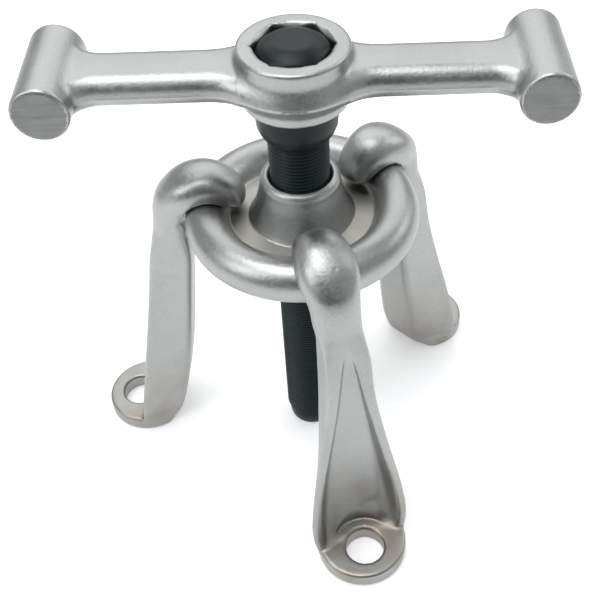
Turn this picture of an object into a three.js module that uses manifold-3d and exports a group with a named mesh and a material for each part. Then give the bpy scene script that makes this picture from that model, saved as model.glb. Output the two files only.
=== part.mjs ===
// Three-leg wheel-hub puller: a ring yoke with a threaded boss, a forcing screw with a live
// pressing tip, three hooked legs that slide round the ring, and a hammer-ended box handle
// that sits on the screw's hexagon. Millimetres, +Z up. The origin is on the screw's axis at
// the level of the surface that the three feet stand on; the handle's bar runs along X.
import * as THREE from 'three';
import { mergeVertices } from 'three/addons/utils/BufferGeometryUtils.js';
import Module from 'manifold-3d';

const wasm = await Module();
wasm.setup();

// ---- driving dimensions -------------------------------------------------------------------
const GAP = 0.3; // running clearance between separate pieces

const RING_Z = 120.1; // height of the ring's centre line above the feet
const RING_R = 36.0; // radius of the ring's centre line
const TUBE_R = 8.1; // radius of the ring's round section
const WEB_TOP = RING_Z + 0.25; // machined face between the boss and the ring
const WEB_BOTTOM = RING_Z - 6.6;
const WEB_R = 26.9; // outer radius of that machined face
const BOSS_BASE_R = 19.7;
const BOSS_TOP = 139.3;
const HUB_BOTTOM = RING_Z - 10.1; // lower end of the threaded length
const HUB_R = 16.5;

const SCREW_R = 11.0; // M22 x 1.5
const TIP_R = 10.0; // pressing tip
const TIP_TOP = 6.8;
const STEM_R = 4.0; // the tip's stem, held in the end of the screw
const STEM_TOP = 15.5;
const COLLAR_R = 14.5;
const COLLAR_TOP = 171.5;
const HEX_AF = 24.0; // across the flats of the screw's head
const HEAD_FLAT_R = 6.5;
const HEAD_TOP = 193.8;

const BOX_R = 19.1; // hub of the handle
const BOX_BOTTOM = COLLAR_TOP + GAP;
const BOX_TOP = 192.5;
const BOX_AF = HEX_AF + 2 * GAP;
const BRIM_R = 21.4; // forging brim at the parting plane
const BAR_Z = 181.2; // height of the bar and of the two hammer heads
const BAR_HALF_WIDTH = 10.1;
const BAR_HALF_HEIGHT = 5.8;
const BAR_EDGE_R = 4.0;
const HAMMER_X = 81.8;
const HAMMER_R = 9.8;
const HAMMER_HALF = 20.0;

const FOOT_R = 80.3; // stud hole centres from the screw's axis
const FOOT_HOLE_R = 7.75;
const PAD_R = 18.0;
const PAD_THICK = 7.0;
const PAD_X = FOOT_R - 3.8; // the pad's round end is centred just inside its hole
const HOOK_CLEARANCE = 0.6; // play of a hook on the ring
// Each leg: bearing of its foot from the screw, and its small turn about its own hook.
const LEGS = {
  leg_front: { foot: -75.0, turn: 4 },
  leg_left: { foot: 174.3, turn: 6 },
  leg_right: { foot: 43.2, turn: 6 },
};

// ---- helpers ------------------------------------------------------------------------------
const steel = (color, roughness = 0.42, metalness = 0.85) =>
  new THREE.MeshStandardMaterial({ color, roughness, metalness });

function solid(geometry) {
  const g = geometry.index ? geometry.toNonIndexed() : geometry.clone();
  g.deleteAttribute('normal');
  g.deleteAttribute('uv');
  const merged = mergeVertices(g, 1e-4);
  return new wasm.Manifold(
    new wasm.Mesh({
      numProp: 3,
      vertProperties: new Float32Array(merged.attributes.position.array),
      triVerts: new Uint32Array(merged.index.array),
    }),
  );
}

function geometryOf(manifold) {
  const mesh = manifold.getMesh();
  const g = new THREE.BufferGeometry();
  g.setAttribute('position', new THREE.BufferAttribute(new Float32Array(mesh.vertProperties), 3));
  g.setIndex(new THREE.BufferAttribute(new Uint32Array(mesh.triVerts), 1));
  g.computeVertexNormals();
  return g;
}

// A turned body about Z from [radius, height] points, counterclockwise with +Z up.
function turned(points, segments = 40) {
  const g = new THREE.LatheGeometry(points.map(([r, z]) => new THREE.Vector2(r, z)), segments);
  return g.rotateX(Math.PI / 2);
}

function prismZ(sides, acrossFlats, bottom, top) {
  const r = acrossFlats / 2 / Math.cos(Math.PI / sides);
  const g = new THREE.CylinderGeometry(r, r, top - bottom, sides);
  return g.rotateX(Math.PI / 2).rotateZ(Math.PI / 2).translate(0, 0, (top + bottom) / 2);
}

function cylinderZ(r, bottom, top, segments = 48) {
  const g = new THREE.CylinderGeometry(r, r, top - bottom, segments);
  return g.rotateX(Math.PI / 2).translate(0, 0, (top + bottom) / 2);
}

const arc = (cx, cz, r, from, to, steps) =>
  Array.from({ length: steps + 1 }, (_, i) => {
    const a = THREE.MathUtils.degToRad(from + ((to - from) * i) / steps);
    return [cx + r * Math.cos(a), cz + r * Math.sin(a)];
  });

// ---- ring yoke ----------------------------------------------------------------------------
function ringYoke() {
  const bore = SCREW_R + GAP;
  const bell = [
    [bore, BOSS_TOP - 1.2],
    [bore + 0.8, BOSS_TOP],
    [13.1, BOSS_TOP],
    [14.3, BOSS_TOP - 0.7],
    [14.9, BOSS_TOP - 2.2],
    [15.6, BOSS_TOP - 5.5],
    [17.2, BOSS_TOP - 11.5],
    [18.9, BOSS_TOP - 16.5],
    [BOSS_BASE_R, WEB_TOP],
  ];
  const ring = arc(RING_R, RING_Z, TUBE_R, 172, -134, 17);
  const under = [
    [WEB_R, WEB_BOTTOM],
    [HUB_R + 1.5, WEB_BOTTOM - 0.4],
    [HUB_R, HUB_BOTTOM + 1],
    [HUB_R - 1, HUB_BOTTOM],
    [bore + 1, HUB_BOTTOM],
    [bore, HUB_BOTTOM + 1],
  ];
  const section = [...bell, [WEB_R, WEB_TOP], ...ring, ...under].reverse();
  return turned([...section, section[0]], 48);
}

// ---- forcing screw and its tip --------------------------------------------------------------
function forcingScrew() {
  const bottom = TIP_TOP + GAP;
  const shank = turned([
    [0, STEM_TOP + GAP],
    [STEM_R + GAP, STEM_TOP + GAP],
    [STEM_R + GAP, bottom],
    [TIP_R + 0.1, bottom],
    [SCREW_R, bottom + 0.9],
    [SCREW_R, 156.0],
    [11.8, 157.6],
    [13.4, 159.6],
    [14.3, 162.0],
    [COLLAR_R, 164.5],
    [COLLAR_R, COLLAR_TOP - 0.5],
    [COLLAR_R - 0.5, COLLAR_TOP],
    [0, COLLAR_TOP],
  ]);
  const dome = turned([
    [0, COLLAR_TOP - 1],
    [HEX_AF, COLLAR_TOP - 1],
    [HEX_AF, 184.0],
    [13.4, 190.2],
    [12.2, 191.4],
    [HEAD_FLAT_R + 0.8, HEAD_TOP - 0.3],
    [HEAD_FLAT_R, HEAD_TOP],
    [0, HEAD_TOP],
  ]);
  const hex = solid(prismZ(6, HEX_AF, COLLAR_TOP - 1, HEAD_TOP + 1)).intersect(solid(dome));
  return geometryOf(solid(shank).add(hex));
}

function pressingTip() {
  return turned([
    [0, 0],
    [8.6, 0],
    [9.5, 0.7],
    [TIP_R, 2.2],
    [TIP_R, TIP_TOP - 0.4],
    [TIP_R - 0.4, TIP_TOP],
    [STEM_R, TIP_TOP],
    [STEM_R, STEM_TOP - 0.6],
    [STEM_R - 0.6, STEM_TOP],
    [0, STEM_TOP],
  ]);
}

// ---- strike handle ------------------------------------------------------------------------
// Half-width of the bar at distance x from the screw: it flares into the hub and the hammers.
function barHalfWidth(x) {
  const towardHub = Math.max(0, (30 - x) / 12);
  const towardHammer = Math.max(0, (x - 64) / 9);
  return BAR_HALF_WIDTH + 3.4 * towardHub ** 2 + 4.2 * towardHammer ** 2;
}

// Octagonal section with rounded corners, lofted along X.
function bar() {
  const stations = [-74, -71, -68, -64, -45, -30, -26, -22, -18, -8, 8, 18, 22, 26, 30, 45, 64, 68, 71, 74];
  const corners = [
    [1, 1, 0],
    [-1, 1, 90],
    [-1, -1, 180],
    [1, -1, 270],
  ];
  const sections = stations.map((x) => {
    const w = barHalfWidth(Math.abs(x));
    return corners.flatMap(([sy, sz, from]) =>
      arc(sy * (w - BAR_EDGE_R), sz * (BAR_HALF_HEIGHT - BAR_EDGE_R), BAR_EDGE_R, from, from + 90, 3).map(
        ([y, z]) => [x, y, BAR_Z + z],
      ),
    );
  });
  return loft(sections);
}

// A closed body through equal rings of points, turning counterclockwise seen from the far end.
function loft(sections) {
  const n = sections[0].length;
  const triangles = [];
  const tri = (a, b, c) => triangles.push(...a, ...b, ...c);
  for (let s = 0; s + 1 < sections.length; s += 1) {
    for (let i = 0; i < n; i += 1) {
      const j = (i + 1) % n;
      tri(sections[s][i], sections[s][j], sections[s + 1][j]);
      tri(sections[s][i], sections[s + 1][j], sections[s + 1][i]);
    }
  }
  const first = sections[0];
  const last = sections[sections.length - 1];
  for (let i = 1; i + 1 < n; i += 1) {
    tri(first[0], first[i + 1], first[i]);
    tri(last[0], last[i], last[i + 1]);
  }
  const g = new THREE.BufferGeometry();
  g.setAttribute('position', new THREE.Float32BufferAttribute(triangles, 3));
  return g;
}

function hammer() {
  const edge = 1.2;
  const half = turned([
    [0, -HAMMER_HALF],
    [HAMMER_R - edge, -HAMMER_HALF],
    [HAMMER_R - 0.3, -HAMMER_HALF + 0.5],
    [HAMMER_R, -HAMMER_HALF + edge],
    [HAMMER_R, HAMMER_HALF - edge],
    [HAMMER_R - 0.3, HAMMER_HALF - 0.5],
    [HAMMER_R - edge, HAMMER_HALF],
    [0, HAMMER_HALF],
  ], 40);
  return half.rotateX(Math.PI / 2);
}

function strikeHandle() {
  const hub = turned([
    [0, BOX_BOTTOM],
    [BOX_R - 1.2, BOX_BOTTOM],
    [BOX_R, BOX_BOTTOM + 1.2],
    [BOX_R, 177.2],
    [BRIM_R - 0.8, 179.2],
    [BRIM_R, 180.2],
    [BRIM_R, BAR_Z + 0.3],
    [BRIM_R - 0.8, BAR_Z + 1.2],
    [20.0, 183.4],
    [BOX_R, 186.8],
    [BOX_R, BOX_TOP - 1.4],
    [BOX_R - 0.5, BOX_TOP - 0.4],
    [BOX_R - 1.5, BOX_TOP],
    [0, BOX_TOP],
  ]);
  const socket = solid(prismZ(6, BOX_AF, BOX_BOTTOM - 1, BOX_TOP + 1));
  const lead = solid(turned([
    [0, BOX_TOP - 2.6],
    [12.3, BOX_TOP - 2.6],
    [15.6, BOX_TOP + 1],
    [0, BOX_TOP + 1],
  ]));
  const hammers = [-1, 1].map((side) => solid(hammer().translate(side * HAMMER_X, 0, BAR_Z)));
  const forging = solid(hub).add(solid(bar())).add(hammers[0]).add(hammers[1]);
  return geometryOf(forging.subtract(socket).subtract(lead));
}

// ---- hooked leg ---------------------------------------------------------------------------
// One leg stands in its own XZ plane: X is the distance from the screw's axis.
// Each station of the shank: height, inner face, outer edge, inner and outer half-widths, and
// the bevel of its outer edges, which grows into the round neck below the hook.
const SHANK = [
  [0.0, 63.2, 77.0, 8.0, 16.4, 1.6],
  [3.0, 61.0, 76.7, 9.2, 18.2, 1.6],
  [9.0, 58.7, 76.0, 10.0, 20.2, 1.6],
  [16.0, 56.7, 74.9, 10.2, 20.8, 1.6],
  [28.0, 54.2, 72.9, 9.9, 19.6, 1.6],
  [40.0, 52.0, 70.9, 9.4, 17.5, 1.8],
  [60.0, 49.2, 67.5, 8.8, 13.3, 2.0],
  [80.0, 46.8, 64.2, 8.2, 9.8, 2.4],
  [97.0, 45.2, 61.3, 7.8, 8.9, 3.6],
  [108.0, 45.2, 59.1, 7.8, 8.7, 5.2],
  [118.0, 46.2, 57.4, 7.6, 8.6, 5.2],
];
const SADDLE_X = 36.5; // centre of the hook's round saddle
const SADDLE_Z = 119.7;
const SADDLE_R = TUBE_R + 1.1;
// The hook round that centre: angle, outer radius, half-width across the leg.
const HOOK = [
  [-24, 22.8, 8.6],
  [-8, 21.4, 8.8],
  [8, 21.0, 9.2],
  [22, 20.6, 9.9],
  [36, 19.8, 10.6],
  [52, 19.4, 11.0],
  [70, 19.2, 10.9],
  [90, 19.2, 10.4],
  [110, 18.9, 9.7],
  [128, 18.2, 8.7],
  [144, 17.2, 7.6],
  [158, 15.8, 6.3],
  [168, 14.2, 4.6],
];

function shank() {
  const innerBevel = 2.2;
  return loft(
    SHANK.map(([z, inner, outer, wi, wo, bevel]) => [
      [inner, -wi + innerBevel, z],
      [inner + innerBevel, -wi, z],
      [outer - bevel, -wo, z],
      [outer, -wo + bevel, z],
      [outer, wo - bevel, z],
      [outer - bevel, wo, z],
      [inner + innerBevel, wi, z],
      [inner, wi - innerBevel, z],
    ]),
  );
}

// The hook goes up the outside of the ring, over it, and down to a blunt tip inside it.
function hook() {
  const sections = HOOK.map(([degrees, outer, halfWidth]) => {
    const angle = THREE.MathUtils.degToRad(degrees);
    const middle = (outer + SADDLE_R) / 2;
    const halfDepth = (outer - SADDLE_R) / 2;
    // Rounded on the outside and nearly square towards the saddle.
    return arc(0, 0, 1, 0, 337.5, 15).map(([c, d]) => {
      const squareness = c > 0.1 ? 0.9 : 0.45;
      const reach = middle + halfDepth * Math.sign(c) * Math.abs(c) ** squareness;
      const across = halfWidth * Math.sign(d) * Math.abs(d) ** squareness;
      return [SADDLE_X + reach * Math.cos(angle), across, SADDLE_Z + reach * Math.sin(angle)];
    });
  });
  return solid(loft(sections));
}

// The valley between the two ribs narrows upward to a point, and its walls lean outward.
// Each station: height, floor, half-width at the floor.
const VALLEY = [
  [PAD_THICK, 71.4, 12.8],
  [10.0, 68.4, 12.6],
  [16.0, 66.8, 12.6],
  [28.0, 65.4, 11.6],
  [50.0, 63.8, 8.6],
  [80.0, 62.1, 4.2],
  [102.5, 60.6, 1.0],
];
const VALLEY_DRAFT = 0.5; // outward lean of its walls
const VALLEY_END_X = 100; // past the outside of the leg

function valley() {
  return solid(
    loft(
      VALLEY.map(([z, floor, half]) => {
        const mouth = half + VALLEY_DRAFT * (VALLEY_END_X - floor);
        return [
          [floor, -half, z],
          [VALLEY_END_X, -mouth, z],
          [VALLEY_END_X, mouth, z],
          [floor, half, z],
        ];
      }),
    ),
  );
}

function ringClearance() {
  const r = TUBE_R + HOOK_CLEARANCE;
  return solid(turned(arc(RING_R, RING_Z, r, 90, 450, 16), 72));
}

function leg() {
  const foot = solid(cylinderZ(PAD_R, 0, PAD_THICK).translate(PAD_X, 0, 0));
  const bore = solid(cylinderZ(FOOT_HOLE_R, -1, PAD_THICK + 1, 40).translate(FOOT_R, 0, 0));
  return solid(shank()).add(hook()).subtract(valley()).add(foot).subtract(bore);
}

// Stands a leg on the ring: its foot points along the bearing, its hook stays on the ring.
function standing({ foot, turn }) {
  const reach = Math.sin(THREE.MathUtils.degToRad(turn)) * (FOOT_R - RING_R);
  const hookBearing = foot - THREE.MathUtils.radToDeg(Math.asin(reach / FOOT_R));
  const h = THREE.MathUtils.degToRad(hookBearing);
  const onRing = leg()
    .translate([-RING_R, 0, 0])
    .rotate([0, 0, hookBearing + turn])
    .translate([RING_R * Math.cos(h), RING_R * Math.sin(h), 0]);
  return geometryOf(onRing.subtract(ringClearance()));
}

// ---- assembly -----------------------------------------------------------------------------
const SATIN = '#bfc1c0';
const BLACK_OXIDE = '#1d2326';

const puller = new THREE.Group();

function place(name, geometry, material) {
  const mesh = new THREE.Mesh(geometry, material);
  mesh.name = name;
  puller.add(mesh);
  return mesh;
}

place('ring_yoke', ringYoke(), steel(SATIN));
place('forcing_screw', forcingScrew(), steel(BLACK_OXIDE, 0.5, 0.6));
place('pressing_tip', pressingTip(), steel('#20262a', 0.45, 0.6));
place('strike_handle', strikeHandle(), steel(SATIN));
for (const [name, stance] of Object.entries(LEGS)) {
  place(name, standing(stance), steel(SATIN));
}

export default puller;
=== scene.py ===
"""Wheel-hub puller: forged ring yoke, hooked legs and strike handle in satin steel, with a
black-oxide forcing screw. Lengths in the shape code are millimetres until a mesh is made."""

import math

import bmesh
import bpy
import numpy as np
import openvdb
from mathutils import Matrix, Vector


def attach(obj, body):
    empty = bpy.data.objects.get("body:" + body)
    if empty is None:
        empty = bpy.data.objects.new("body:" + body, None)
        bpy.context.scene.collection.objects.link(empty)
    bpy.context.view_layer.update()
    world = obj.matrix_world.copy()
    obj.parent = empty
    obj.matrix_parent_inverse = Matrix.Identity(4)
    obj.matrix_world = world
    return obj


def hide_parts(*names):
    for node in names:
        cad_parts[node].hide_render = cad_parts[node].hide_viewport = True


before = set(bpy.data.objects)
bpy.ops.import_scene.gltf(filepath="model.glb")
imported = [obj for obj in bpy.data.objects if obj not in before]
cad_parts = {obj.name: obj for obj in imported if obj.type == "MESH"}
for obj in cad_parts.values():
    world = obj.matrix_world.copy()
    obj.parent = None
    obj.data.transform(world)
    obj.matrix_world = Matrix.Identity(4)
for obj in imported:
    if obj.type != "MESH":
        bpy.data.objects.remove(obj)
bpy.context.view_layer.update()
MM = 0.001
COS_30, SIN_30 = math.cos(math.radians(30)), math.sin(math.radians(30))

# ---- dimensions shared with the CAD -------------------------------------------------------
RING_R, RING_Z, TUBE_R = 36.0, 120.1, 8.1
WEB_TOP, WEB_BOTTOM = 120.35, 113.5
BOSS_TOP, BOSS_BASE_R, WEB_R = 139.3, 19.7, 26.9
HUB_BOTTOM, HUB_R, BORE_R = 110.0, 16.5, 11.3
SCREW_R, PITCH, THREAD_DEPTH = 11.0, 1.5, 0.85
SCREW_BOTTOM, THREAD_TOP = 7.1, 157.5
COLLAR_R, COLLAR_TOP, HEX_AF, HEAD_TOP = 14.5, 171.5, 24.0, 193.8
DOME_R, HEAD_FLAT_R = 24.0, 6.5
TIP_R, TIP_TOP = 10.0, 6.8
BOX_R, BOX_BOTTOM, BOX_TOP, BOX_AF = 19.1, 171.8, 192.5, 24.6
BRIM_R, BAR_Z, BAR_HALF_WIDTH, BAR_HALF_HEIGHT, BAR_EDGE_R = 21.4, 181.2, 10.1, 5.8, 4.7
BELT_R, PARTING_Z, PARTING_SWELL = 20.3, 180.4, 0.9
HAMMER_X, HAMMER_R, HAMMER_HALF, HAMMER_EDGE = 81.8, 9.8, 20.0, 1.3
FOOT_R, FOOT_HOLE_R, PAD_R, PAD_X, PAD_THICK = 80.3, 7.75, 18.0, 76.5, 7.0
SADDLE_X, SADDLE_Z, SADDLE_R, HOOK_CLEARANCE, HOOK_END = 36.5, 119.7, 9.2, 0.6, 175
# each leg: bearing of its foot, its turn about its hook (both in degrees), and its sideways bow
LEGS = {
    "leg_front": (-75.0, 4.0, 1.0),
    "leg_left": (174.3, 6.0, 0.0),
    "leg_right": (43.2, 6.0, 0.0),
}
# shank stations: height, inner face, outer face, inner and outer half-widths
SHANK = np.array(
    [
        (-2, 64.0, 77.3, 7.6, 15.4),
        (0, 63.2, 77.0, 8.0, 16.4),
        (3, 61.0, 76.7, 9.2, 18.2),
        (9, 58.7, 76.0, 10.0, 20.2),
        (16, 56.7, 74.9, 10.2, 20.8),
        (28, 54.2, 72.9, 9.9, 19.6),
        (40, 52.0, 70.9, 9.4, 17.5),
        (60, 49.2, 67.5, 8.8, 13.3),
        (80, 46.8, 64.2, 8.2, 9.8),
        (101, 44.7, 60.8, 7.8, 8.8),
        (110, 44.8, 59.0, 8.2, 8.6),
        (116, 45.2, 58.2, 8.6, 8.8),
        (122, 45.9, 57.8, 8.8, 8.9),
    ]
)
# hook stations round the saddle: angle, outer radius, half-width
HOOK = np.array(
    [
        (-50, 29.0, 8.6),
        (-24, 23.9, 8.7),
        (-8, 21.8, 8.8),
        (8, 21.0, 9.2),
        (22, 20.6, 9.9),
        (36, 19.8, 10.6),
        (52, 19.4, 11.0),
        (70, 19.2, 10.9),
        (90, 19.2, 10.4),
        (110, 18.9, 9.8),
        (128, 18.2, 8.9),
        (144, 17.4, 8.0),
        (158, 16.4, 7.0),
        (176, 15.0, 5.6),
        (200, 14.0, 4.0),
    ]
)
# valley between the ribs: height, floor distance from the screw, half-width at the floor
VALLEY = np.array(
    [
        (-5, 78.2, 13.6),
        (7, 74.2, 13.4),
        (8.5, 71.8, 13.2),
        (11, 69.4, 13.0),
        (15, 67.6, 12.9),
        (22, 66.2, 12.4),
        (34, 64.9, 11.3),
        (50, 63.8, 8.9),
        (65, 62.9, 6.6),
        (80, 61.7, 4.3),
        (95, 60.2, 2.3),
        (104, 59.1, 1.0),
        (118, 57.8, -3.0),
    ]
)
VALLEY_DRAFT, SPOT_FACE_R = 0.5, 13.0
# skin of the handle's hub: height, radius
HUB_SKIN = np.array(
    [
        (BOX_BOTTOM - 3, 18.6),
        (BOX_BOTTOM, 18.6),
        (176.0, 18.8),
        (178.0, 19.6),
        (179.8, BRIM_R - 0.35),
        (180.9, BRIM_R),
        (182.2, BRIM_R - 0.7),
        (184.0, 19.9),
        (186.6, BOX_R + 0.15),
        (188.5, BOX_R),
        (190.5, BOX_R),
        (BOX_TOP + 3, BOX_R),
    ]
)
# skin of the screw's collar, down to where the thread starts: height, radius
COLLAR_SKIN = np.array(
    [
        (150.0, 9.3),
        (154.8, 9.6),
        (156.0, 10.9),
        (157.6, 11.8),
        (159.6, 13.4),
        (162.0, 14.3),
        (164.5, COLLAR_R),
        (172.0, COLLAR_R),
    ]
)


# ---- solid shapes as signed distances -----------------------------------------------------
def blend_min(a, b, k):
    """The smaller of two distances, which joins two solids, with a fillet of about k."""
    h = np.clip(0.5 + 0.5 * (b - a) / k, 0, 1)
    return b + (a - b) * h - k * h * (1 - h)


def blend_max(a, b, k):
    """The larger of two distances, which keeps what two solids share, with its edge rounded."""
    return -blend_min(-a, -b, k)


def table(t, at, column):
    """A smooth curve through a column of a station table."""
    x, y = t[:, 0], t[:, column]
    slope = np.gradient(y, x)
    i = np.clip(np.searchsorted(x, at) - 1, 0, len(x) - 2)
    w = x[i + 1] - x[i]
    s = np.clip((at - x[i]) / w, 0, 1)
    return (
        y[i] * (1 + 2 * s) * (1 - s) ** 2
        + y[i + 1] * s * s * (3 - 2 * s)
        + slope[i] * w * s * (1 - s) ** 2
        - slope[i + 1] * w * s * s * (1 - s)
    ).astype(np.float32)


def mix(a, b, share):
    return a + (b - a) * share


def ramp(at, start, end):
    """Climbs smoothly from 0 at start to 1 at end."""
    s = np.clip((at - start) / (end - start), 0, 1)
    return (s * s * (3 - 2 * s)).astype(np.float32)


def oval(out, across, inner_power=3.0, outer_power=2.15):
    """Below zero inside a section that is round on the outside and squarer on the inside."""
    power = np.where(out > 0, outer_power, inner_power)
    return (np.abs(out) ** power + across**power) ** (1 / power) - 1


def rounded_box(dx, dy, r):
    """Joins two sides, at dx = 0 and dy = 0, with a round edge of radius r."""
    outside = np.hypot(np.maximum(dx + r, 0), np.maximum(dy + r, 0))
    return outside + np.minimum(np.maximum(dx, dy) + r, 0) - r


def hexagon(x, y, across_flats, corner_r):
    """Distance to a hexagon with two corners on the X axis."""
    half = across_flats / 2 - corner_r
    ax, ay = np.abs(x), np.abs(y)
    flat, slant = ay - half, ax * COS_30 + ay * SIN_30 - half
    corner = np.hypot(np.maximum(ax - half * SIN_30 / COS_30, 0), np.maximum(flat, 0))
    return np.where((slant > 0) & (flat > slant), corner, np.maximum(flat, slant)) - corner_r


def mesh_from(name, points, faces, merge=1e-7, fill=False):
    """An object from points in metres. Points within merge of each other become one."""
    mesh = bpy.data.meshes.new(name)
    mesh.from_pydata(points, [], faces)
    bm = bmesh.new()
    bm.from_mesh(mesh)
    bmesh.ops.remove_doubles(bm, verts=bm.verts, dist=merge)
    if fill:
        bmesh.ops.holes_fill(bm, edges=[e for e in bm.edges if e.is_boundary], sides=0)
    bmesh.ops.recalc_face_normals(bm, faces=bm.faces)
    bm.to_mesh(mesh)
    bm.free()
    mesh.shade_smooth()
    obj = bpy.data.objects.new(name, mesh)
    bpy.context.scene.collection.objects.link(obj)
    return obj


def solid_mesh(name, distance, low, high, voxel, place=None):
    """The zero surface of a distance function, sampled every voxel mm between two corners."""
    axes = [np.arange(a, b + voxel, voxel, dtype=np.float32) for a, b in zip(low, high)]
    x, y, z = axes[0][:, None, None], axes[1][None, :, None], axes[2][None, None, :]
    whole = np.broadcast_to(distance(x, y, z), [len(a) for a in axes])
    values = np.array(whole, np.float32, order="C")
    grid = openvdb.FloatGrid(3.0)
    grid.copyFromArray(values)
    points, quads = grid.convertToQuads(isovalue=0.0)
    points = np.asarray(points, float) * voxel + np.array([a[0] for a in axes], float)
    if place is not None:
        points = place(points)
    return mesh_from(name, (points * MM).tolist(), np.asarray(quads).tolist())


# ---- turned shapes ------------------------------------------------------------------------
def curve(points, steps=6):
    """A smooth line (Catmull-Rom) through (radius, height) points."""
    p = np.array([points[0], *points, points[-1]], float)
    out = []
    for a, b, c, d in zip(p, p[1:], p[2:], p[3:]):
        square, cube = 2 * a - 5 * b + 4 * c - d, 3 * b - a - 3 * c + d
        for s in np.arange(steps) / steps:
            out.append(tuple(0.5 * (2 * b + (c - a) * s + square * s * s + cube * s**3)))
    return out + [tuple(points[-1])]


def arc(cx, cz, r, start, end, steps):
    """Points on part of a circle, between two angles in degrees."""
    turn = np.radians(np.linspace(start, end, steps + 1))
    return [(cx + r * math.cos(a), cz + r * math.sin(a)) for a in turn]


def turned_mesh(name, section, around=160, closed=True):
    """Turns a line of (radius, height) points round Z. A closed line ends where it starts."""
    rows = len(section)
    points, faces = [], []
    for r, z in section:
        for k in range(around):
            a = 2 * math.pi * k / around
            points.append((r * math.cos(a) * MM, r * math.sin(a) * MM, z * MM))
    for i in range(rows if closed else rows - 1):
        for k in range(around):
            j, n = (i + 1) % rows, (k + 1) % around
            faces.append((i * around + k, i * around + n, j * around + n, j * around + k))
    return mesh_from(name, points, faces)


def ring_yoke():
    """Boss, web, round ring and lower hub, as one line turned round the screw's axis."""
    bell = curve(
        [
            (BORE_R, BOSS_TOP - 1.5),
            (BORE_R + 0.35, BOSS_TOP - 0.5),
            (BORE_R + 1.0, BOSS_TOP),
            (12.9, BOSS_TOP - 0.05),
            (14.0, BOSS_TOP - 0.7),
            (14.75, BOSS_TOP - 2.2),
            (15.2, BOSS_TOP - 5.2),
            (16.8, BOSS_TOP - 11.5),
            (18.4, BOSS_TOP - 16.0),
            (BOSS_BASE_R - 0.3, WEB_TOP + 0.9),
            (BOSS_BASE_R + 0.3, WEB_TOP + 0.15),
            (BOSS_BASE_R + 1.0, WEB_TOP),
        ]
    )
    rise = [(WEB_R, WEB_TOP + 0.12), (WEB_R + 0.7, WEB_TOP + 0.7), (28.25, 122.3)]
    face = curve([(WEB_R - 0.9, WEB_TOP), *rise])
    tube = arc(RING_R, RING_Z, TUBE_R, 160, -128, 72)
    under = curve(
        [
            (30.2, 113.55),
            (28.6, WEB_BOTTOM + 0.1),
            (WEB_R, WEB_BOTTOM),
            (HUB_R + 2.6, WEB_BOTTOM - 0.1),
            (HUB_R + 0.6, WEB_BOTTOM - 0.9),
            (HUB_R, HUB_BOTTOM + 1.2),
            (HUB_R - 0.4, HUB_BOTTOM + 0.3),
            (HUB_R - 1.4, HUB_BOTTOM),
        ]
    )
    bore = [(BORE_R + 1, HUB_BOTTOM), (BORE_R, HUB_BOTTOM + 1)]
    return turned_mesh("yoke_forging", bell + face + tube + under + bore)


def screw_head():
    """The hexagon and the collar below it."""
    middle, hexagon_bottom = 163.2, 160.0
    chamfer_r, chamfer_z = 13.2, 189.8

    def distance(x, y, z):
        r = np.hypot(x, y)
        skin = np.interp(z, COLLAR_SKIN[:, 0], COLLAR_SKIN[:, 1])
        collar = rounded_box(r - skin, np.abs(z - middle) - (COLLAR_TOP - middle), 0.5)
        ends = np.maximum(hexagon_bottom - z, z - HEAD_TOP)
        prism = blend_max(hexagon(x, y, HEX_AF, 0.5), ends, 0.25)
        # the corners of the head are turned off, and its end is a shallow dome with a small flat
        chamfer = (r - chamfer_r) * 0.75 + (z - chamfer_z) * 0.66
        dome = np.hypot(r, z - (HEAD_TOP - DOME_R)) - math.hypot(DOME_R, HEAD_FLAT_R)
        head = blend_max(blend_max(prism, dome, 0.25), chamfer, 0.8)
        return blend_min(collar, head, 0.6)

    return solid_mesh("screw_head", distance, (-16, -16, 154), (16, 16, 195), 0.42)


def screw_thread():
    """A right-hand thread: rows of points climb one pitch in each turn."""
    # one pitch of it: share of the pitch climbed, and height above the root as a share of the depth
    profile = [(0.0, 0.0), (0.16, 0.0), (0.5, 1.0), (0.66, 1.0)]
    around, per_turn = 64, len(profile)
    turns = int(math.ceil((THREAD_TOP - SCREW_BOTTOM) / PITCH)) + 2
    start = SCREW_BOTTOM - PITCH
    lead_r, neck_r = TIP_R + 0.1, 9.5
    points, faces = [], []
    for row in range(turns * per_turn + 1):
        share, height = profile[row % per_turn]
        for k in range(around + 1):
            a = 2 * math.pi * k / around
            z = start + PITCH * (row // per_turn + share + k / around)
            r = SCREW_R - THREAD_DEPTH * (1 - height)
            r = min(r, lead_r + (z - SCREW_BOTTOM) * 0.9)
            if z <= SCREW_BOTTOM:
                z, r = SCREW_BOTTOM, lead_r
            if z >= THREAD_TOP:
                z, r = THREAD_TOP, neck_r
            points.append((r * math.cos(a) * MM, r * math.sin(a) * MM, z * MM))
    for row in range(turns * per_turn):
        for k in range(around):
            i = row * (around + 1) + k
            faces.append((i, i + 1, i + around + 2, i + around + 1))
    # the last column of one turn is the first column of the next, so merging closes the helix
    return mesh_from("screw_thread", points, faces, merge=2e-6, fill=True)


def pressing_tip():
    """A short round foot, with the stem that stands in the screw."""
    section = [(0.001, 0.0), (8.4, 0.0)]
    section += curve([(8.6, 0.0), (9.15, 0.25), (9.5, 0.75), (9.8, 1.5), (TIP_R, 2.6)])
    section += [(TIP_R, TIP_TOP - 0.5), (TIP_R - 0.12, TIP_TOP - 0.15), (TIP_R - 0.5, TIP_TOP)]
    section += [(4.0, TIP_TOP), (4.0, 14.9), (3.4, 15.5), (0.001, 15.5)]
    return turned_mesh("tip_body", section, around=96, closed=False)


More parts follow.
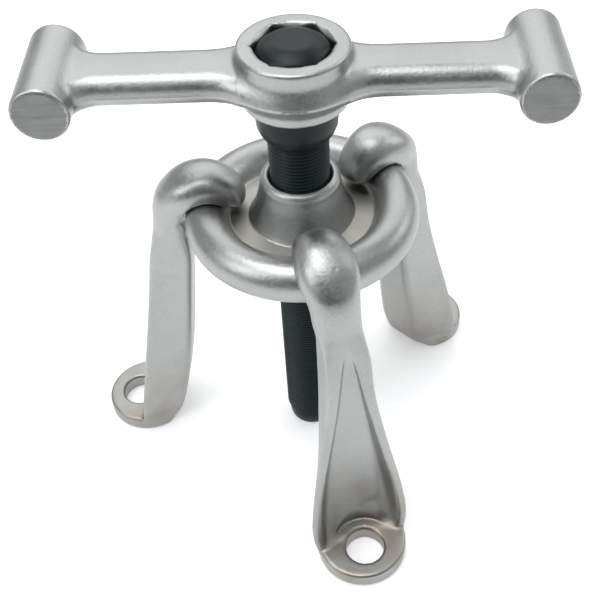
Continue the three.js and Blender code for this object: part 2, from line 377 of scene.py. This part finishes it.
# ---- handle -------------------------------------------------------------------------------
def strike_handle():
    """A cross bar with a hammer head at each end and a hub with a hexagon box."""
    middle, half = (BOX_TOP + BOX_BOTTOM) / 2, (BOX_TOP - BOX_BOTTOM) / 2
    hub_flare, hammer_flare = 2.6, 4.2
    draft_above, draft_below, crown = 0.13, 0.26, 0.003
    hub_fillet, hammer_fillet, belt_fillet = 2.4, 1.8, 7.0
    seam_width, seam_height, seam_share_at_hub = 0.45, 0.09, 0.4
    lead_r = 13.7

    def distance(x, y, z):
        r, ax = np.hypot(x, y), np.abs(x)
        hub = rounded_box(r - table(HUB_SKIN, z, 1), np.abs(z - middle) - half, 1.2)
        # the bar's outline flows round the hub as a belt, and flares into the hammer heads
        to_hub, to_hammer = np.clip((30 - ax) / 12, 0, 1.0), np.clip((ax - 64) / 9, 0, 1.25)
        width = BAR_HALF_WIDTH + hub_flare * to_hub**2 + hammer_flare * to_hammer**2
        plan = blend_min(np.abs(y) - width, r - BELT_R, belt_fillet) - PARTING_SWELL
        # its sides lean away from the plane where the two dies met
        plan = plan + draft_above * np.maximum(z - PARTING_Z, 0)
        plan = plan + draft_below * np.maximum(PARTING_Z - z, 0)
        faces = np.abs(z - BAR_Z) - BAR_HALF_HEIGHT - 0.15 + crown * y * y
        belt = np.maximum(rounded_box(plan, faces, BAR_EDGE_R), ax - HAMMER_X + 5)
        body = blend_min(hub, belt, hub_fillet)
        side = np.hypot(ax - HAMMER_X, z - BAR_Z) - HAMMER_R
        hammer = rounded_box(side, np.abs(y) - HAMMER_HALF, HAMMER_EDGE)
        body = blend_min(body, hammer, hammer_fillet)
        # a faint ridge all round where the dies met
        seam = np.exp(-(((z - PARTING_Z) / seam_width) ** 2)) * seam_height
        body = body - np.where(r < 24, seam_share_at_hub, 1.0) * seam
        lead = (r - lead_r) * 0.8 - (z - BOX_TOP) * 0.6
        box = blend_min(hexagon(x, y, BOX_AF, 0.7), lead, 0.3)
        return blend_max(body, -box, 0.5)

    return solid_mesh("handle_forging", distance, (-92.8, -22, 170), (92.8, 22, 194.5), 0.55)


# ---- legs ---------------------------------------------------------------------------------
def shank_distance(x, ay, z):
    """Two ribs with a valley between them on the outside, that turn into a smooth neck above."""
    inner, outer = table(SHANK, z, 1), table(SHANK, z, 2)
    share = np.clip((x - inner) / (outer - inner), -0.3, 1.3)
    width = table(SHANK, z, 3) * (1 - share) + table(SHANK, z, 4) * share
    side = (ay - width) * 0.93
    shank = np.maximum(rounded_box(side, inner - x, 2.6), rounded_box(side, x - outer, 1.9))
    shank = blend_max(shank, -z, 1.5)
    floor = x - table(VALLEY, z, 1)
    walls = (ay - table(VALLEY, z, 2) - VALLEY_DRAFT * floor) * 0.9
    root_fillet = np.interp(z, [15, 60], [3.8, 0.8]).astype(np.float32)
    crest_round = np.interp(z, [40, 98], [1.3, 0.3]).astype(np.float32)
    shank = blend_max(shank, -blend_max(walls, -floor, root_fillet), crest_round)
    # the neck is an oval, rounder the nearer it is to the hook
    middle, depth = (outer + inner) / 2, (outer - inner) / 2
    power = 2.15 + 2.2 * ramp(z, 117, 102)
    neck = oval((x - middle) / depth, ay / (width * 0.99), 3.0, power) * np.minimum(depth, width)
    return mix(neck, shank, ramp(z, 110, 96))


def hook_distance(x, ay, z):
    """An arch standing on the ring, which is an oval at its neck and at its rounded tip."""
    px, pz = x - SADDLE_X, z - SADDLE_Z
    rho = np.hypot(px, pz)
    phi = np.degrees(np.arctan2(pz, px))
    phi = np.where(phi < -90, phi + 360, phi)
    top, half = table(HOOK, phi, 1), table(HOOK, phi, 2)
    arch = ramp(phi, -22, 30) * ramp(phi, 165, 112)
    middle = SADDLE_R + (top - SADDLE_R) * (0.5 - 0.38 * arch)
    depth = top - middle
    reach = np.where(rho > middle, depth, middle - SADDLE_R + 6.5 * arch)
    section = oval((rho - middle) / reach, ay / half, 3.0 - 0.6 * arch, 2.15 + 0.2 * arch)
    end = rho * np.sin(np.radians(np.clip(phi - HOOK_END, -90, 90)))
    return blend_max(section * np.minimum(depth, half), end, 6.5)


def leg_distance(turn, bow):
    """A leg with its ring's centre line at (RING_R, 0), and the ring turned about that point."""
    axis_x, axis_y = RING_R - RING_R * math.cos(turn), RING_R * math.sin(turn)

    def distance(x, straight_y, z):
        y = straight_y - bow * (0.4 * ramp(z, 40, 80) - 1.4 * ramp(z, 96, 118))
        ay = np.abs(y)
        body = mix(shank_distance(x, ay, z), hook_distance(x, ay, z), ramp(z, 108, 119))
        # the foot: a round pad, faced round its stud hole, and cut back to the shank's inner face
        round_side = np.hypot(x - PAD_X, y) - PAD_R
        pad = rounded_box(round_side, np.abs(z - PAD_THICK / 2) - PAD_THICK / 2, 1.3)
        pad = blend_max(pad, table(SHANK, z, 1) + 1.0 - x, 3.0)
        from_stud = np.hypot(x - FOOT_R, y)
        body = blend_max(body, np.minimum(SPOT_FACE_R - from_stud, z - PAD_THICK), 0.8)
        body = blend_min(body, pad, 1.6)
        hole = FOOT_HOLE_R - from_stud + np.clip(z - PAD_THICK + 0.6, 0, 0.7)
        body = blend_max(body, hole, 0.5)
        body = np.maximum(body, -z)
        # room for the ring
        across_ring = np.hypot(x - axis_x, straight_y - axis_y) - RING_R
        ring = np.hypot(across_ring, z - RING_Z) - TUBE_R - HOOK_CLEARANCE
        return blend_max(body, -ring, 0.7)

    return distance


def leg(name, foot, turn_degrees, bow):
    """Builds a leg in its own axes and puts it round the screw."""
    turn = math.radians(turn_degrees)
    bearing = math.radians(foot) - math.asin(math.sin(turn) * (FOOT_R - RING_R) / FOOT_R)
    c, s = math.cos(bearing + turn), math.sin(bearing + turn)

    def place(p):
        x, y = p[:, 0] - RING_R, p[:, 1]
        east = c * x - s * y + RING_R * math.cos(bearing)
        north = s * x + c * y + RING_R * math.sin(bearing)
        return np.column_stack([east, north, p[:, 2]])

    low, high = (13, -22, -1.5), (96.5, 22, 141)
    return solid_mesh(name, leg_distance(turn, bow), low, high, 0.6, place)


# ---- materials ----------------------------------------------------------------------------
class Nodes:
    """Short calls for building a material's node tree."""

    def __init__(self, name):
        self.material = bpy.data.materials.new(name)
        self.material.use_nodes = True
        self.tree = self.material.node_tree
        self.shader = self.tree.nodes["Principled BSDF"]
        self.place = self.tree.nodes.new("ShaderNodeTexCoord").outputs["Object"]

    def new(self, kind, inputs=None, **settings):
        node = self.tree.nodes.new(kind)
        for key, value in settings.items():
            setattr(node, key, value)
        for key, value in (inputs or {}).items():
            if isinstance(value, bpy.types.NodeSocket):
                self.tree.links.new(value, node.inputs[key])
            else:
                node.inputs[key].default_value = value
        return node

    def noise(self, scale, detail=2.0, roughness=0.5, vector=None):
        inputs = {"Vector": vector or self.place, "Scale": scale, "Detail": detail}
        inputs["Roughness"] = roughness
        return self.new("ShaderNodeTexNoise", inputs).outputs["Fac"]

    def spread(self, value, low, high, to_low, to_high):
        """Stretches low to high over to_low to to_high, and holds it there."""
        inputs = {"Value": value, "From Min": low, "From Max": high}
        inputs |= {"To Min": to_low, "To Max": to_high}
        return self.new("ShaderNodeMapRange", inputs).outputs["Result"]

    def math(self, operation, a, b=0.0):
        return self.new("ShaderNodeMath", {0: a, 1: b}, operation=operation).outputs[0]

    def mix(self, share, a, b):
        """Blends two colours: sockets 6 and 7 and output 2 are the node's colour ones."""
        return self.new("ShaderNodeMix", {0: share, 6: a, 7: b}, data_type="RGBA").outputs[2]

    def height(self):
        return self.new("ShaderNodeSeparateXYZ", {"Vector": self.place}).outputs["Z"]

    def bump(self, height, distance, strength, normal=None):
        inputs = {"Height": height, "Distance": distance, "Strength": strength}
        if normal is not None:
            inputs["Normal"] = normal
        return self.new("ShaderNodeBump", inputs).outputs["Normal"]

    def radius(self):
        """Distance from the screw's axis."""
        flat = self.new("ShaderNodeSeparateXYZ", {"Vector": self.place}).outputs
        x, y = self.math("MULTIPLY", flat["X"], flat["X"]), self.math("MULTIPLY", flat["Y"], flat["Y"])
        return self.math("SQRT", self.math("ADD", x, y))

    def link(self, value, socket):
        self.tree.links.new(value, self.shader.inputs[socket])


def grey(value, warmth=0.0):
    """Steel grey, very slightly green."""
    return (value * (0.975 + warmth), value, value * (0.985 - warmth), 1.0)


def satin_steel(name, brightness=0.42, rough_low=0.34, rough_high=0.44):
    """Forged steel, fine blasted: cloudy sheen, a fine grain and a few shallow dings."""
    m = Nodes(name)
    cloud = m.noise(38.0, 3.0, 0.55)
    grain = m.noise(850.0, 2.0, 0.6)
    cells = {"Vector": m.place, "Scale": 210.0, "Randomness": 1.0}
    dimple = m.spread(m.new("ShaderNodeTexVoronoi", cells).outputs["Distance"], 0.0, 0.24, 1.0, 0.0)
    ding = m.math("MULTIPLY", dimple, m.spread(m.noise(120.0, 1.0), 0.58, 0.62, 0.0, 1.0))
    cloudy, grainy = m.spread(cloud, 0.3, 0.7, 0.0, 0.8), m.spread(grain, 0.3, 0.7, -0.15, 0.35)
    tone = m.math("ADD", cloudy, grainy)
    plain = m.mix(tone, grey(brightness * 0.84, 0.012), grey(brightness * 1.08, -0.004))
    # a warm tint in patches low down, and painted shade: the colour darkens towards the feet, where
    # they meet the floor
    patch = m.spread(m.noise(75.0, 3.0), 0.4, 0.62, 0.0, 1.0)
    low_warm_tint = m.math("MULTIPLY", m.spread(m.height(), 0.012, 0.05, 0.9, 0.0), patch)
    low_warm_colour = (brightness * 0.86, brightness * 0.76, brightness * 0.65, 1.0)
    painted_foot_shade = m.spread(m.height(), 0.006, 0.04, 0.2, 0.0)
    colour = m.mix(painted_foot_shade, m.mix(low_warm_tint, plain, low_warm_colour), grey(brightness * 0.35))
    m.link(colour, "Base Color")
    rough = m.spread(cloud, 0.3, 0.7, rough_low, rough_high)
    m.link(m.math("ADD", rough, m.spread(grain, 0.3, 0.7, -0.03, 0.05)), "Roughness")
    m.shader.inputs["Metallic"].default_value = 1.0
    wave = m.bump(m.noise(110.0, 2.0, 0.5), 0.00012, 0.3)
    fine = m.bump(grain, 0.00011, 0.8, wave)
    m.link(m.bump(m.math("MULTIPLY", ding, -1.0), 0.00013, 0.6, fine), "Normal")
    return m.material


def black_oxide(name, brightness=0.005, crest=None):
    """Machined steel under oiled black oxide: blue-black, with a soft sheen. A thread's crests,
    outside the crest radius, get a painted highlight: a little lighter colour."""
    m = Nodes(name)
    cloud = m.noise(60.0, 3.0, 0.6)
    grain = m.noise(1800.0, 2.0, 0.6)
    low = (brightness * 0.5, brightness * 0.75, brightness * 0.85, 1.0)
    high = (brightness * 0.85, brightness * 1.2, brightness * 1.4, 1.0)
    tone = m.mix(m.spread(cloud, 0.3, 0.7, 0.0, 1.0), low, high)
    if crest is not None:
        # painted highlight: the crests are coloured a little lighter
        painted_crest_highlight = m.spread(m.radius(), crest - 0.0003, crest, 0.0, 1.0)
        tone = m.mix(painted_crest_highlight, tone, (0.016, 0.024, 0.028, 1.0))
    m.link(tone, "Base Color")
    rough = m.spread(cloud, 0.3, 0.7, 0.3, 0.42)
    m.link(m.math("ADD", rough, m.spread(grain, 0.3, 0.7, -0.03, 0.04)), "Roughness")
    m.shader.inputs["Metallic"].default_value = 0.0
    m.shader.inputs["Specular IOR Level"].default_value = 0.28
    m.shader.inputs["Specular Tint"].default_value = (0.86, 0.97, 1.0, 1.0)
    m.link(m.bump(grain, 0.00004, 0.6), "Normal")
    return m.material


def turned_face(name):
    """A faced-off surface: fine rings round the screw's axis, with patches of painted warm reflection
    in its colour.
    """
    m = Nodes(name)
    rings = m.new("ShaderNodeCombineXYZ", {"X": m.radius()}).outputs["Vector"]
    groove = m.noise(5200.0, 2.0, 0.6, rings)
    cloud = m.noise(70.0, 3.0, 0.6)
    # painted reflection: the warm colour stands for something warm mirrored in the face
    painted_warm_reflection, pale = (0.36, 0.345, 0.32, 1), (0.43, 0.42, 0.4, 1)
    m.link(m.mix(m.spread(cloud, 0.35, 0.65, 0.0, 1.0), painted_warm_reflection, pale), "Base Color")
    m.link(m.spread(groove, 0.3, 0.7, 0.38, 0.52), "Roughness")
    m.shader.inputs["Metallic"].default_value = 1.0
    m.link(m.bump(groove, 0.00004, 0.7), "Normal")
    return m.material


def struck_face(name):
    """The end of a hammer head: ground across, with a dull line where the dies met."""
    m = Nodes(name)
    stretch = {"Vector": m.place, "Scale": (60.0, 60.0, 1100.0)}
    scratch = m.noise(1.0, 4.0, 0.6, m.new("ShaderNodeMapping", stretch).outputs["Vector"])
    blotch = m.noise(220.0, 3.0, 0.6)
    from_line = m.math("ABSOLUTE", m.math("SUBTRACT", m.height(), BAR_Z * MM))
    line = m.spread(from_line, 0.0002, 0.0007, 1.0, 0.0)
    tone = m.math("ADD", m.spread(scratch, 0.3, 0.7, 0.0, 0.7), m.math("MULTIPLY", line, 0.5))
    m.link(m.mix(tone, grey(0.19, 0.01), grey(0.25)), "Base Color")
    rough = m.spread(blotch, 0.3, 0.7, 0.33, 0.5)
    m.link(m.math("ADD", rough, m.math("MULTIPLY", line, 0.12)), "Roughness")
    m.shader.inputs["Metallic"].default_value = 1.0
    relief = m.math("ADD", scratch, m.math("MULTIPLY", blotch, 0.6))
    m.link(m.bump(relief, 0.00005, 0.7), "Normal")
    return m.material


def finish_with(obj, main, extra=None, where=None):
    """Gives a piece its material, and a second one to the faces that where(centre, normal) picks."""
    obj.data.materials.append(main)
    if extra is not None:
        obj.data.materials.append(extra)
        for p in obj.data.polygons:
            if where(p.center / MM, p.normal):
                p.material_index = 1


# ---- the object ---------------------------------------------------------------------------
def on_web(centre, normal):
    return abs(centre.z - WEB_TOP) < 0.12 and BOSS_BASE_R < centre.xy.length < WEB_R + 0.3


def on_hammer_end(centre, normal):
    return abs(normal.y) > 0.97 and abs(centre.y) > HAMMER_HALF - 0.4


satin = satin_steel("satin_steel_forged")
oxide = black_oxide("black_oxide_machined")
tip_oxide = black_oxide("black_oxide_tip", 0.009)
thread_oxide = black_oxide("black_oxide_thread", crest=0.0107)

yoke = ring_yoke()
finish_with(yoke, satin, turned_face("satin_steel_faced"), on_web)
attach(yoke, "ring_yoke")
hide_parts("ring_yoke")

head, thread = screw_head(), screw_thread()
for part, finish in ((head, oxide), (thread, thread_oxide)):
    finish_with(part, finish)
    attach(part, "forcing_screw")
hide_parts("forcing_screw")

tip = pressing_tip()
finish_with(tip, tip_oxide)
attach(tip, "pressing_tip")
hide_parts("pressing_tip")

handle = strike_handle()
finish_with(handle, satin, struck_face("satin_steel_struck"), on_hammer_end)
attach(handle, "strike_handle")
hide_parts("strike_handle")

for node, stance in LEGS.items():
    piece = leg(node + "_forging", *stance)
    finish_with(piece, satin)
    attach(piece, node)
    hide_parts(node)


# ---- studio -------------------------------------------------------------------------------
MIDDLE = Vector((0, 0, 0.11))


def floor():
    """A white table top just under the feet."""
    m = Nodes("floor_white")
    m.shader.inputs["Base Color"].default_value = (0.86, 0.87, 0.88, 1)
    m.shader.inputs["Roughness"].default_value = 0.7
    m.shader.inputs["Emission Color"].default_value = (1, 1, 1, 1)
    m.shader.inputs["Emission Strength"].default_value = 0.36
    mesh = bpy.data.meshes.new("floor")
    half, level = 1.6, -0.0002
    corners = [(x * half, y * half, level) for x, y in ((-1, -1), (1, -1), (1, 1), (-1, 1))]
    mesh.from_pydata(corners, [], [(0, 1, 2, 3)])
    mesh.materials.append(m.material)
    obj = bpy.data.objects.new("floor", mesh)
    bpy.context.scene.collection.objects.link(obj)


def softbox(name, position, size, power):
    """A rectangular light that faces the middle of the object."""
    light = bpy.data.lights.new(name, "AREA")
    light.shape, light.size, light.size_y = "RECTANGLE", size[0], size[1]
    light.energy = power
    obj = bpy.data.objects.new(name, light)
    obj.location = position
    obj.rotation_mode = "QUATERNION"
    obj.rotation_quaternion = (MIDDLE - Vector(position)).to_track_quat("-Z", "Y")
    bpy.context.scene.collection.objects.link(obj)


def camera():
    """The photograph's own view: from in front and above, rolled a little."""
    position = Vector((9.31, -284.88, 370.01)) * MM
    yaw, pitch, roll = -0.0132, -0.8292, -0.040
    flat = math.cos(pitch)
    forward = Vector((math.sin(yaw) * flat, math.cos(yaw) * flat, math.sin(pitch)))
    level = Vector((math.cos(yaw), -math.sin(yaw), 0))
    over = level.cross(forward)
    right = math.cos(roll) * level + math.sin(roll) * over
    up = -math.sin(roll) * level + math.cos(roll) * over
    data = bpy.data.cameras.new("camera")
    data.sensor_width, data.sensor_fit = 36.0, "AUTO"
    data.lens = 59.87
    data.shift_x, data.shift_y = -0.0437, 0.0347
    data.clip_start, data.clip_end = 0.01, 20
    obj = bpy.data.objects.new("camera", data)
    turn = Matrix((right, up, -forward)).transposed().to_4x4()
    obj.matrix_world = Matrix.Translation(position) @ turn
    bpy.context.scene.collection.objects.link(obj)
    bpy.context.scene.camera = obj


def room():
    """A pale room with a darker part in front, low down, as behind a camera."""
    world = bpy.data.worlds.new("studio")
    world.use_nodes = True
    sky, links = world.node_tree.nodes, world.node_tree.links
    toward = sky.new("ShaderNodeVectorMath")
    toward.operation = "DOT_PRODUCT"
    toward.inputs[1].default_value = Vector((0.0, -1.0, 0.05)).normalized()
    links.new(sky.new("ShaderNodeTexCoord").outputs["Generated"], toward.inputs[0])
    shade = sky.new("ShaderNodeValToRGB")
    shade.color_ramp.interpolation = "EASE"
    pale, dark = shade.color_ramp.elements
    pale.position, pale.color = 0.6, (0.48, 0.49, 0.495, 1)
    dark.position, dark.color = 0.9, (0.1, 0.104, 0.106, 1)
    links.new(toward.outputs["Value"], shade.inputs[0])
    links.new(shade.outputs[0], sky["Background"].inputs["Color"])
    sky["Background"].inputs["Strength"].default_value = 1.0
    bpy.context.scene.world = world


floor()
softbox("overhead", (-0.2, -0.05, 1.3), (1.0, 0.7), 8.5)
softbox("back", (0.0, 0.95, 0.95), (1.5, 0.7), 4.6)
softbox("left_front", (-0.9, -0.5, 0.9), (0.6, 0.8), 4.4)
softbox("right_back", (0.9, 0.4, 0.8), (0.6, 0.8), 2.6)
camera()
room()
# the plain transform, so that a white floor is white
bpy.context.scene.view_settings.view_transform = "Standard"
